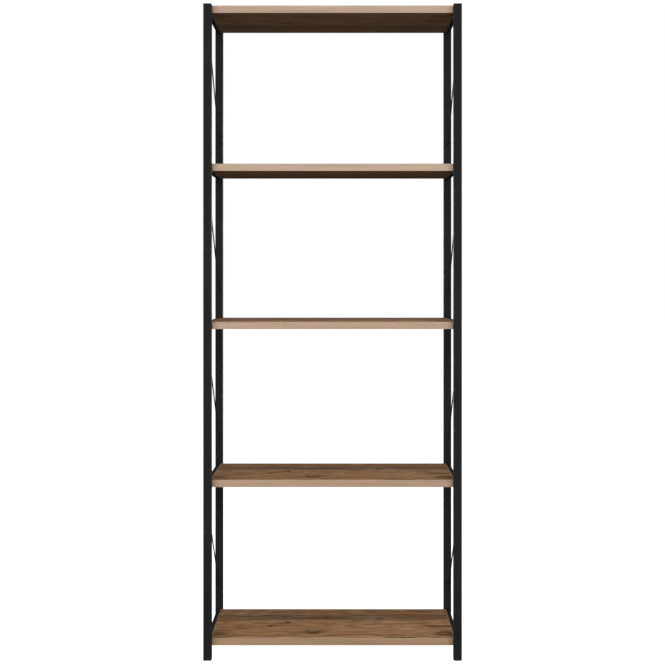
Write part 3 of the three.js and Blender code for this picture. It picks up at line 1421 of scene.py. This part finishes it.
@dataclass
class SideFrame:
    """One welded side frame: two posts, five rails, four bent rods and their welds.

    Attributes:
        side: Which side it is.
        levels: The rails, one beside each board's end.
        post_tube: How the posts are drawn.
        rail_tube: How the rails are drawn.
        upright_share: How much of a rail's height the upright bead takes.
        flat_share: How much of a rail's width the flat bead takes.
        upright_start: Where the upright bead starts, as a share of the height.
        flat_start: Where the flat bead starts, as a share of the width.
    """

    side: Side
    levels: int
    post_tube: SquareTube
    rail_tube: SquareTube
    upright_share: float = 0.9
    flat_share: float = 0.86
    upright_start: float = 0.05
    flat_start: float = 0.07

    def build(self, coat: Material) -> None:
        """Build and dress everything on this side."""
        for end in End:
            node = f"post_{self.side.value}_{end.value}"
            fit(self.post_tube.build(f"tube_{node}", *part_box(node), Z), Slot.STEEL, coat, node)
        for level in range(1, self.levels + 1):
            node = f"rail_{self.side.value}_{level}"
            fit(self.rail_tube.build(f"tube_{node}", *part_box(node), Y), Slot.STEEL, coat, node)
        for bay in range(1, self.levels):
            node = f"brace_rod_{self.side.value}_{bay}"
            fit(BentRod().build(f"bent_{node}", *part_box(node)), Slot.STEEL, coat, node)
        fit(self.rail_welds(), Slot.STEEL, coat)
        fit(self.rod_welds(), Slot.STEEL, coat)

    def rail_welds(self) -> Piece:
        """Run beads down the outer face and under each end of every rail."""
        low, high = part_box(f"rail_{self.side.value}_1")
        upright = WeldBead().build("weld_pattern_upright", self.upright_share * (high.z - low.z))
        flat = WeldBead(ripples=7).build("weld_pattern_flat", self.flat_share * (high.x - low.x))
        beads: list[Piece] = []
        lay_down = Matrix.Rotation(math.pi / 2, 4, "Y")
        for level in range(1, self.levels + 1):
            low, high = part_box(f"rail_{self.side.value}_{level}")
            for face in (low.y, high.y):
                bottom = low.z + self.upright_start * (high.z - low.z)
                up = Matrix.Translation((self.side.outer(low, high), face, bottom))
                beads.append(Bench.copy(upright, "bead", up))
                along = Matrix.Translation((low.x + self.flat_start * (high.x - low.x), face, low.z))
                beads.append(Bench.copy(flat, "bead", along @ lay_down))
        for pattern in (upright, flat):
            bpy.data.objects.remove(pattern)
        return Bench.join(f"rail_welds_{self.side.value}", beads)

    def rod_welds(self) -> Piece:
        """Set a collar where each rod meets the front and the rear post."""
        pattern = WeldCollar().build("weld_pattern_collar")
        collars: list[Piece] = []
        for bay in range(1, self.levels):
            low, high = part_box(f"brace_rod_{self.side.value}_{bay}")
            radius = (high.x - low.x) / 2
            middle = (high.x + low.x) / 2
            front = Matrix.Translation((middle, low.y, high.z - radius * math.sqrt(2)))
            rear = Matrix.Translation((middle, high.y, low.z + radius))
            half_turn = Matrix.Rotation(math.pi, 4, "Z")
            collars.append(Bench.copy(pattern, "collar", front))
            collars.append(Bench.copy(pattern, "collar", rear @ half_turn))
        bpy.data.objects.remove(pattern)
        return Bench.join(f"rod_welds_{self.side.value}", collars)


# ------------------------------------------------------------------------------ plugs and fasteners


@dataclass
class EndPlug:
    """A moulded plug in a post's end: a plate as wide as the post and a hollow shank, drawn without the ribs
    of the real one.

    Attributes:
        plate: The plate's thickness.
        upward: Whether the shank points up, as on a foot.
        corner: The plate's corner radius, as the post's.
        ease: The small radius round the plate's outer face.
        dish: How far the outer face's middle is sunk.
        shank_margin: From the post's outside to the shank.
        rim: The flat rim round the dish.
        dish_taper: The dish's floor against its rim.
        lead: The share of the shank that leads in.
        lead_taper: How much the lead narrows.
        shank_wall: The wall of the hollow shank.
        hollow: How deep the shank is hollow, as a share of its length.
    """

    plate: float
    upward: bool
    corner: float = 2.0 * MM
    ease: float = 0.5 * MM
    dish: float = 0.3 * MM
    shank_margin: float = 1.5 * MM
    rim: float = 0.9 * MM
    dish_taper: float = 0.95
    lead: float = 0.15
    lead_taper: float = 0.93
    shank_wall: float = 1.6 * MM
    hollow: float = 0.8

    def build(self, name: str, low: Vector, high: Vector) -> Piece:
        """Mould the plug inside its box.

        Args:
            name: The piece's name.
            low: The lowest corner of its box.
            high: The highest corner of its box.

        Returns:
            The plug.
        """
        way = 1 if self.upward else -1
        outer = low.z if self.upward else high.z
        inner = outer + way * self.plate
        shank = (high.z - low.z) - self.plate
        heights = sorted((outer, inner))
        plug = Bench.block(
            name, Vector((low.x, low.y, heights[0])), Vector((high.x, high.y, heights[1]))
        )
        Bench.soften(plug, lambda edge: runs_along(edge, Z), self.corner, steps=5)
        Bench.soften(plug, lambda edge: at_place(edge, Z, outer), self.ease, steps=3)
        Bench.pick(plug, "FACE", lambda face: faces_along(face, Z, -way))
        bpy.ops.mesh.inset(thickness=self.rim)
        sunk = Vector((self.dish_taper, self.dish_taper, 1.0))
        Bench.extrude(Vector((0.0, 0.0, way * self.dish)), sunk, (low + high) / 2)
        Bench.pick(plug, "FACE", lambda face: faces_along(face, Z, way))
        middle = Vector(((low.x + high.x) / 2, (low.y + high.y) / 2, inner))
        bpy.ops.mesh.inset(thickness=self.shank_margin)
        Bench.extrude(Vector((0.0, 0.0, way * (1.0 - self.lead) * shank)))
        taper = Vector((self.lead_taper, self.lead_taper, 1.0))
        Bench.extrude(Vector((0.0, 0.0, way * self.lead * shank)), taper, middle)
        bpy.ops.mesh.inset(thickness=self.shank_wall)
        Bench.extrude(Vector((0.0, 0.0, -way * self.hollow * shank)))
        Bench.clear()
        Bench.shade(plug)
        return plug


@dataclass
class ButtonScrew:
    """A button-head screw with a hexagon socket, its head towards +X and its seat at the origin.

    Attributes:
        head_radius: The head's radius.
        head_height: The head's height over its seat.
        rim: The straight rim under the dome.
        crown: The flat crown's radius.
        socket: The socket's radius over its corners.
        socket_depth: The socket's depth.
        shank_radius: The shank's radius.
        shank_length: From the seat to the tip.
        tip: The length of the tip.
        point: The tip's radius at its end, as a share of the shank's.
        sides: The faces round the screw.
        dome_steps: The rings of the dome.
    """

    head_radius: float = 4.2 * MM
    head_height: float = 2.4 * MM
    rim: float = 0.5 * MM
    crown: float = 2.2 * MM
    socket: float = 1.75 * MM
    socket_depth: float = 1.5 * MM
    shank_radius: float = 2.0 * MM
    shank_length: float = 38.0 * MM
    tip: float = 5.0 * MM
    point: float = 0.25
    sides: int = 32
    dome_steps: int = 6

    def build(self, name: str) -> Piece:
        """Turn the screw from a disc, cut its socket and draw out its shank."""
        screw = Bench.disc(name, ORIGIN, self.head_radius, X, self.sides)
        Bench.extrude(Vector((self.rim, 0.0, 0.0)))
        dome = self.head_height - self.rim
        turns = [0.5 * math.pi * index / self.dome_steps for index in range(1, self.dome_steps + 1)]
        profile = [
            (self.rim + dome * math.sin(turn), self.crown + (self.head_radius - self.crown) * math.cos(turn))
            for turn in turns
        ]
        Bench.rings(X, (self.rim, self.head_radius), profile)
        Bench.turn_out(screw)
        Bench.pick(screw, "FACE", lambda face: faces_along(face, X, -1))
        bpy.ops.mesh.inset(thickness=self.head_radius - self.shank_radius)
        Bench.extrude(Vector((self.tip - self.shank_length, 0.0, 0.0)))
        Bench.extrude(Vector((-self.tip, 0.0, 0.0)), Vector((1.0, self.point, self.point)))
        Bench.clear()
        self.cut_socket(screw)
        Bench.shade(screw)
        return screw

    def cut_socket(self, screw: Piece) -> None:
        """Cut the hexagon socket out of the head."""
        depth = 2 * self.socket_depth
        Bench.clear()
        bpy.ops.mesh.primitive_cylinder_add(
            vertices=6,
            radius=self.socket,
            depth=depth,
            location=(self.head_height, 0.0, 0.0),
            rotation=(0.0, math.pi / 2, 0.0),
        )
        key = bpy.context.object
        Bench.settle(key)
        Bench.modify(screw, "BOOLEAN", operation="DIFFERENCE", object=key, solver="EXACT")
        bpy.data.objects.remove(key)


@dataclass
class Fasteners:
    """The screws that pass through the rails into the boards' ends, and the posts' end plugs.

    Attributes:
        levels: The levels of boards.
        screw: How a screw is made.
        cap: How a post's top cap is made.
        foot: How a post's foot is made.
    """

    levels: int
    screw: ButtonScrew
    cap: EndPlug
    foot: EndPlug

    def build(self, zinc: Material, plastic: Material) -> None:
        """Build and dress the plugs and the screws."""
        for side in Side:
            for end in End:
                where = f"{side.value}_{end.value}"
                cap, foot = f"top_cap_{where}", f"foot_{where}"
                fit(self.cap.build(f"moulded_{cap}", *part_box(cap)), Slot.PLASTIC, plastic, cap)
                fit(self.foot.build(f"moulded_{foot}", *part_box(foot)), Slot.PLASTIC, plastic, foot)
        pattern = self.screw.build("screw_pattern")
        for side in Side:
            turn = Matrix.Rotation(math.pi if side is Side.LEFT else 0.0, 4, "Z")
            for level in range(1, self.levels + 1):
                for end in End:
                    node = f"screw_{side.value}_{level}_{end.value}"
                    copy = Bench.copy(pattern, f"socket_{node}", self.seat(node, side) @ turn)
                    fit(copy, Slot.SCREW, zinc, node)
        bpy.data.objects.remove(pattern)

    def seat(self, node: str, side: Side) -> Matrix:
        """Find the middle of a screw's seat, under its head, from the frame's own screw."""
        low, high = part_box(node)
        middle = (low + high) / 2
        middle.x = side.outer(low, high) - side.sign * self.screw.head_height
        return Matrix.Translation(middle)


# ------------------------------------------------------------------------------------------ boards


@dataclass
class ShelfBoard:
    """A board: its decor-faced core, the pale front band and the thin bands on its other edges.

    Attributes:
        level: Its level, 1 at the foot.
        band: The thickness of the thin bands at its ends and rear.
        ease: The radius of a band's trimmed arris.
        facing: The thickness of the decor facing, which shows as a fine line at the rim.
        face_margin: The narrow strip round the core's faces, which keeps the shading flat.
        band_margin: The same on a band's outer face.
    """

    level: int
    band: float = 2.0 * MM
    ease: float = 0.5 * MM
    facing: float = 0.25 * MM
    face_margin: float = 3.0 * MM
    band_margin: float = 0.7 * MM

    def build(self, decor: Material, band_print: Material) -> None:
        """Build and dress the board and its bands."""
        node = f"board_{self.level}"
        low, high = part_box(node)
        core_low = Vector((low.x + self.band, low.y, low.z))
        core_high = Vector((high.x - self.band, high.y - self.band, high.z))
        fit(self.core(f"shelf_{self.level}_core", core_low, core_high), Slot.WOOD, decor, node)
        front = f"edge_band_{self.level}"
        band = self.strip(f"shelf_{self.level}_front_band", *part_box(front), Y, -1)
        fit(band, Slot.BAND, band_print, front)
        for side in Side:
            edges = sorted((side.outer(core_low, core_high), side.outer(low, high)))
            strip = self.strip(
                f"shelf_{self.level}_end_band_{side.value}",
                Vector((edges[0], low.y, low.z)),
                Vector((edges[1], high.y - self.band, high.z)),
                X,
                side.sign,
            )
            fit(strip, Slot.BAND, band_print)
        rear = self.strip(
            f"shelf_{self.level}_rear_band",
            Vector((low.x, core_high.y, low.z)),
            Vector((high.x, high.y, high.z)),
            Y,
            1,
        )
        fit(rear, Slot.BAND, band_print)

    def core(self, name: str, low: Vector, high: Vector) -> Piece:
        """Cut the core and ease its rims by the facing's thickness.

        Args:
            name: The piece's name.
            low: The lowest corner.
            high: The highest corner.

        Returns:
            The core.
        """
        core = Bench.block(name, low, high)
        Bench.soften(core, lambda edge: not runs_along(edge, Z), self.facing, steps=2)
        Bench.pick(core, "FACE", lambda face: abs(face.normal.z) > 0.99)
        bpy.ops.mesh.inset(thickness=self.face_margin, use_individual=True)
        Bench.clear()
        Bench.shade(core)
        return core

    def strip(self, name: str, low: Vector, high: Vector, axis: int, sign: int) -> Piece:
        """Cut a band and trim the arrises of its outer face.

        Args:
            name: The piece's name.
            low: The lowest corner.
            high: The highest corner.
            axis: The axis that its outer face looks along.
            sign: The direction in which it looks.

        Returns:
            The band.
        """
        outer = high[axis] if sign > 0 else low[axis]
        band = Bench.block(name, low, high)
        Bench.soften(band, lambda edge: at_place(edge, axis, outer), self.ease, steps=4)
        Bench.pick(band, "FACE", lambda face: faces_along(face, axis, sign))
        bpy.ops.mesh.inset(thickness=self.band_margin)
        Bench.clear()
        Bench.shade(band)
        return band


# ------------------------------------------------------------------------------------------ studio


@dataclass
class SoftBox:
    """A rectangular soft light.

    Attributes:
        name: Its name.
        place: Where it hangs.
        target: What it looks at.
        width: Its width.
        height: Its height.
        brightness: How bright its face is.
    """

    name: str
    place: Vector
    target: Vector
    width: float
    height: float
    brightness: float

    def build(self, lit: bpy.types.Collection | None = None) -> None:
        """Hang the light and point it at its target.

        Args:
            lit: The only pieces that it lights, if it is flagged off the others.
        """
        Bench.clear()
        bpy.ops.object.light_add(type="AREA", location=self.place)
        lamp = bpy.context.object
        lamp.name = self.name
        lamp.rotation_euler = (self.target - self.place).to_track_quat("-Z", "Y").to_euler()
        lamp.data.shape = "RECTANGLE"
        lamp.data.size = self.width
        lamp.data.size_y = self.height
        lamp.visible_camera = False
        if lit is not None:
            lamp.light_linking.receiver_collection = lit
        lamp.data.energy = self.brightness * math.pi * self.width * self.height
        log.info("%s: %.0f W", self.name, lamp.data.energy)


@dataclass
class Studio:
    """The pale studio round the bookcase: floor, soft lights, white surround and camera.

    Attributes:
        floor_size: The floor's side.
        floor_bounce: How much light the floor gives back.
        surround: How bright the surround is for the light that it gives.
        floor_shade: How much a shadow tells on the floor that the camera sees.
        floor_lift: How bright that floor is by itself.
        eye: Where the camera is.
        lens: Its focal length, on a sensor 36 mm wide.
        shift: How far the lens is shifted across and down, in sensor widths.
    """

    floor_size: float = 40.0
    floor_bounce: float = 0.05
    surround: float = 0.13
    floor_shade: float = 0.86
    floor_lift: float = 0.96
    eye: tuple[float, float, float] = (0.0206, -3.05, 0.9525)
    lens: float = 64.53
    shift: tuple[float, float] = (-0.0128, -0.0949)

    def build(self) -> None:
        """Build the floor, the lights, the surround and the camera."""
        self.lay_floor()
        middle = Vector((0.0, 0.0, 0.8))
        upper, low = Vector((0.0, 0.0, 0.9)), Vector((0.0, 0.0, 0.25))
        for box in (
            SoftBox("key_softbox", Vector((0.0, -3.3, 1.6)), upper, width=6.0, height=2.3, brightness=3.4),
            SoftBox("low_softbox", Vector((0.0, -1.35, 0.15)), low, width=2.4, height=0.22, brightness=2.4),
            *(
                SoftBox(f"{side.value}_softbox", Vector((3.6 * side.sign, 1.4, 2.2)), middle, 2.0, 2.0, 1.5)
                for side in Side
            ),
            SoftBox("rear_softbox", Vector((0.0, 3.4, 3.6)), middle, width=3.0, height=1.6, brightness=1.6),
        ):
            box.build()
        self.light_steel()
        self.paint_surround()
        self.set_camera()

    def light_steel(self) -> None:
        """Light the sides and the back of the black steel, flagged off the boards.

        The rails and rods are flagged off the rear light too, which would shine along their tops.
        """
        steel = bpy.data.collections.new("black_pieces")
        uprights = bpy.data.collections.new("black_uprights")
        for piece in bpy.data.objects:
            if piece.get("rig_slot") in (Slot.STEEL.value, Slot.PLASTIC.value, Slot.SCREW.value):
                steel.objects.link(piece)
                if piece.name.startswith(("tube_post", "moulded")):
                    uprights.objects.link(piece)
        middle = Vector((0.0, 0.0, 0.8))
        for side in Side:
            place = Vector((3.4 * side.sign, 0.4, 0.8))
            SoftBox(f"{side.value}_rim_softbox", place, middle, 3.6, 1.8, 3.2).build(steel)
        SoftBox("rear_rim_softbox", Vector((0.0, 3.4, 0.9)), middle, 4.4, 1.8, 3.2).build(uprights)

    def lay_floor(self) -> None:
        """Lay the pale floor, which looks white and keeps a faint shadow at the feet."""
        Bench.clear()
        bpy.ops.mesh.primitive_plane_add(size=self.floor_size)
        floor = Bench.name(bpy.context.object, "studio_floor")
        material = bpy.data.materials.new("pale_floor")
        material.use_nodes = True
        material.node_tree.nodes.clear()
        graph = Graph(material.node_tree)
        both = graph.node("ShaderNodeAddShader")
        shade, white = (self.floor_shade,) * 3, (1.0, 1.0, 1.0)
        graph.feed(both.inputs[0], graph.shader("ShaderNodeBsdfDiffuse", Color=shade))
        lift = graph.shader("ShaderNodeEmission", Color=white, Strength=self.floor_lift)
        graph.feed(both.inputs[1], lift)
        bounce = graph.shader("ShaderNodeBsdfDiffuse", Color=(self.floor_bounce,) * 3)
        graph.by_eye("ShaderNodeOutputMaterial", seen=both.outputs[0], given=bounce)
        floor.data.materials.append(material)

    def paint_surround(self) -> None:
        """Paint the surround white to the eye and dim grey to everything that it lights."""
        world = bpy.data.worlds.new("studio_surround")
        bpy.context.scene.world = world
        world.use_nodes = True
        world.node_tree.nodes.clear()
        graph = Graph(world.node_tree)
        seen, given = (
            graph.shader("ShaderNodeBackground", Color=(1.0, 1.0, 1.0), Strength=strength)
            for strength in (1.0, self.surround)
        )
        graph.by_eye("ShaderNodeOutputWorld", seen, given)

    def set_camera(self) -> None:
        """Set the level camera with a little rise and shift, as on a view camera."""
        Bench.clear()
        bpy.ops.object.camera_add(location=self.eye, rotation=(math.pi / 2, 0.0, 0.0))
        camera = bpy.context.object
        camera.name = "view_camera"
        camera.data.sensor_width = 36.0
        camera.data.lens = self.lens
        camera.data.shift_x, camera.data.shift_y = self.shift
        camera.data.dof.use_dof = False
        bpy.context.scene.camera = camera
        view = bpy.context.scene.view_settings
        view.view_transform = "Standard"
        view.look = "None"
        view.exposure = 0.0
        view.gamma = 1.0


# -------------------------------------------------------------------------------------------- main


def main() -> None:
    """Build the studio and the bookcase, sub-assembly by sub-assembly."""
    logging.basicConfig(level=logging.INFO, format="%(name)s: %(message)s")
    levels = sum(1 for node in frame["nodes"] if node.startswith("board_"))
    low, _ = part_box("edge_band_1")
    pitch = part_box("edge_band_2")[0].z - low.z

    effects = Effects.build()
    coat = BlackCoat(
        "black_powder_coat", (0.0128, 0.0128, 0.0131), roughness=0.55, gloss=0.05, dust=0.003
    ).build(effects)
    plastic = BlackCoat(
        "black_moulded_plastic",
        (0.0145, 0.0145, 0.015),
        roughness=0.58,
        gloss=0.12,
        dimple=1500.0,
        relief=0.03 * MM,
    ).build(effects)
    zinc = BlackCoat(
        "black_zinc",
        (0.085, 0.083, 0.080),
        roughness=0.38,
        gloss=0.5,
        # the screw heads' edges are laid lighter: worn, and partly a painted highlight
        rubbed_and_highlight=(0.32, 0.31, 0.30),
        dimple=2500.0,
        metal=0.9,
    ).build(effects)
    decor = WoodDecor("brown_wood_decor", (0.36, 0.20, 0.10), roughness=0.66, gloss=0.06).build(effects)
    band_print = BandPrint(
        "pale_band_print", (0.37, 0.23, 0.14), roughness=0.38, gloss=0.75, pitch=pitch, foot=low.z
    ).build(effects)

    post_tube = SquareTube(wall=1.2 * MM, corner=2.0 * MM)
    rail_tube = SquareTube(wall=1.0 * MM, corner=1.5 * MM)
    for side in Side:
        SideFrame(side, levels, post_tube, rail_tube).build(coat)
    for level in range(1, levels + 1):
        ShelfBoard(level).build(decor, band_print)
    cap = EndPlug(plate=2.0 * MM, upward=False)
    foot = EndPlug(plate=4.0 * MM, upward=True)
    Fasteners(levels, ButtonScrew(), cap, foot).build(zinc, plastic)
    Studio().build()
    Bench.clear()


if __name__ == "__main__":
    main()
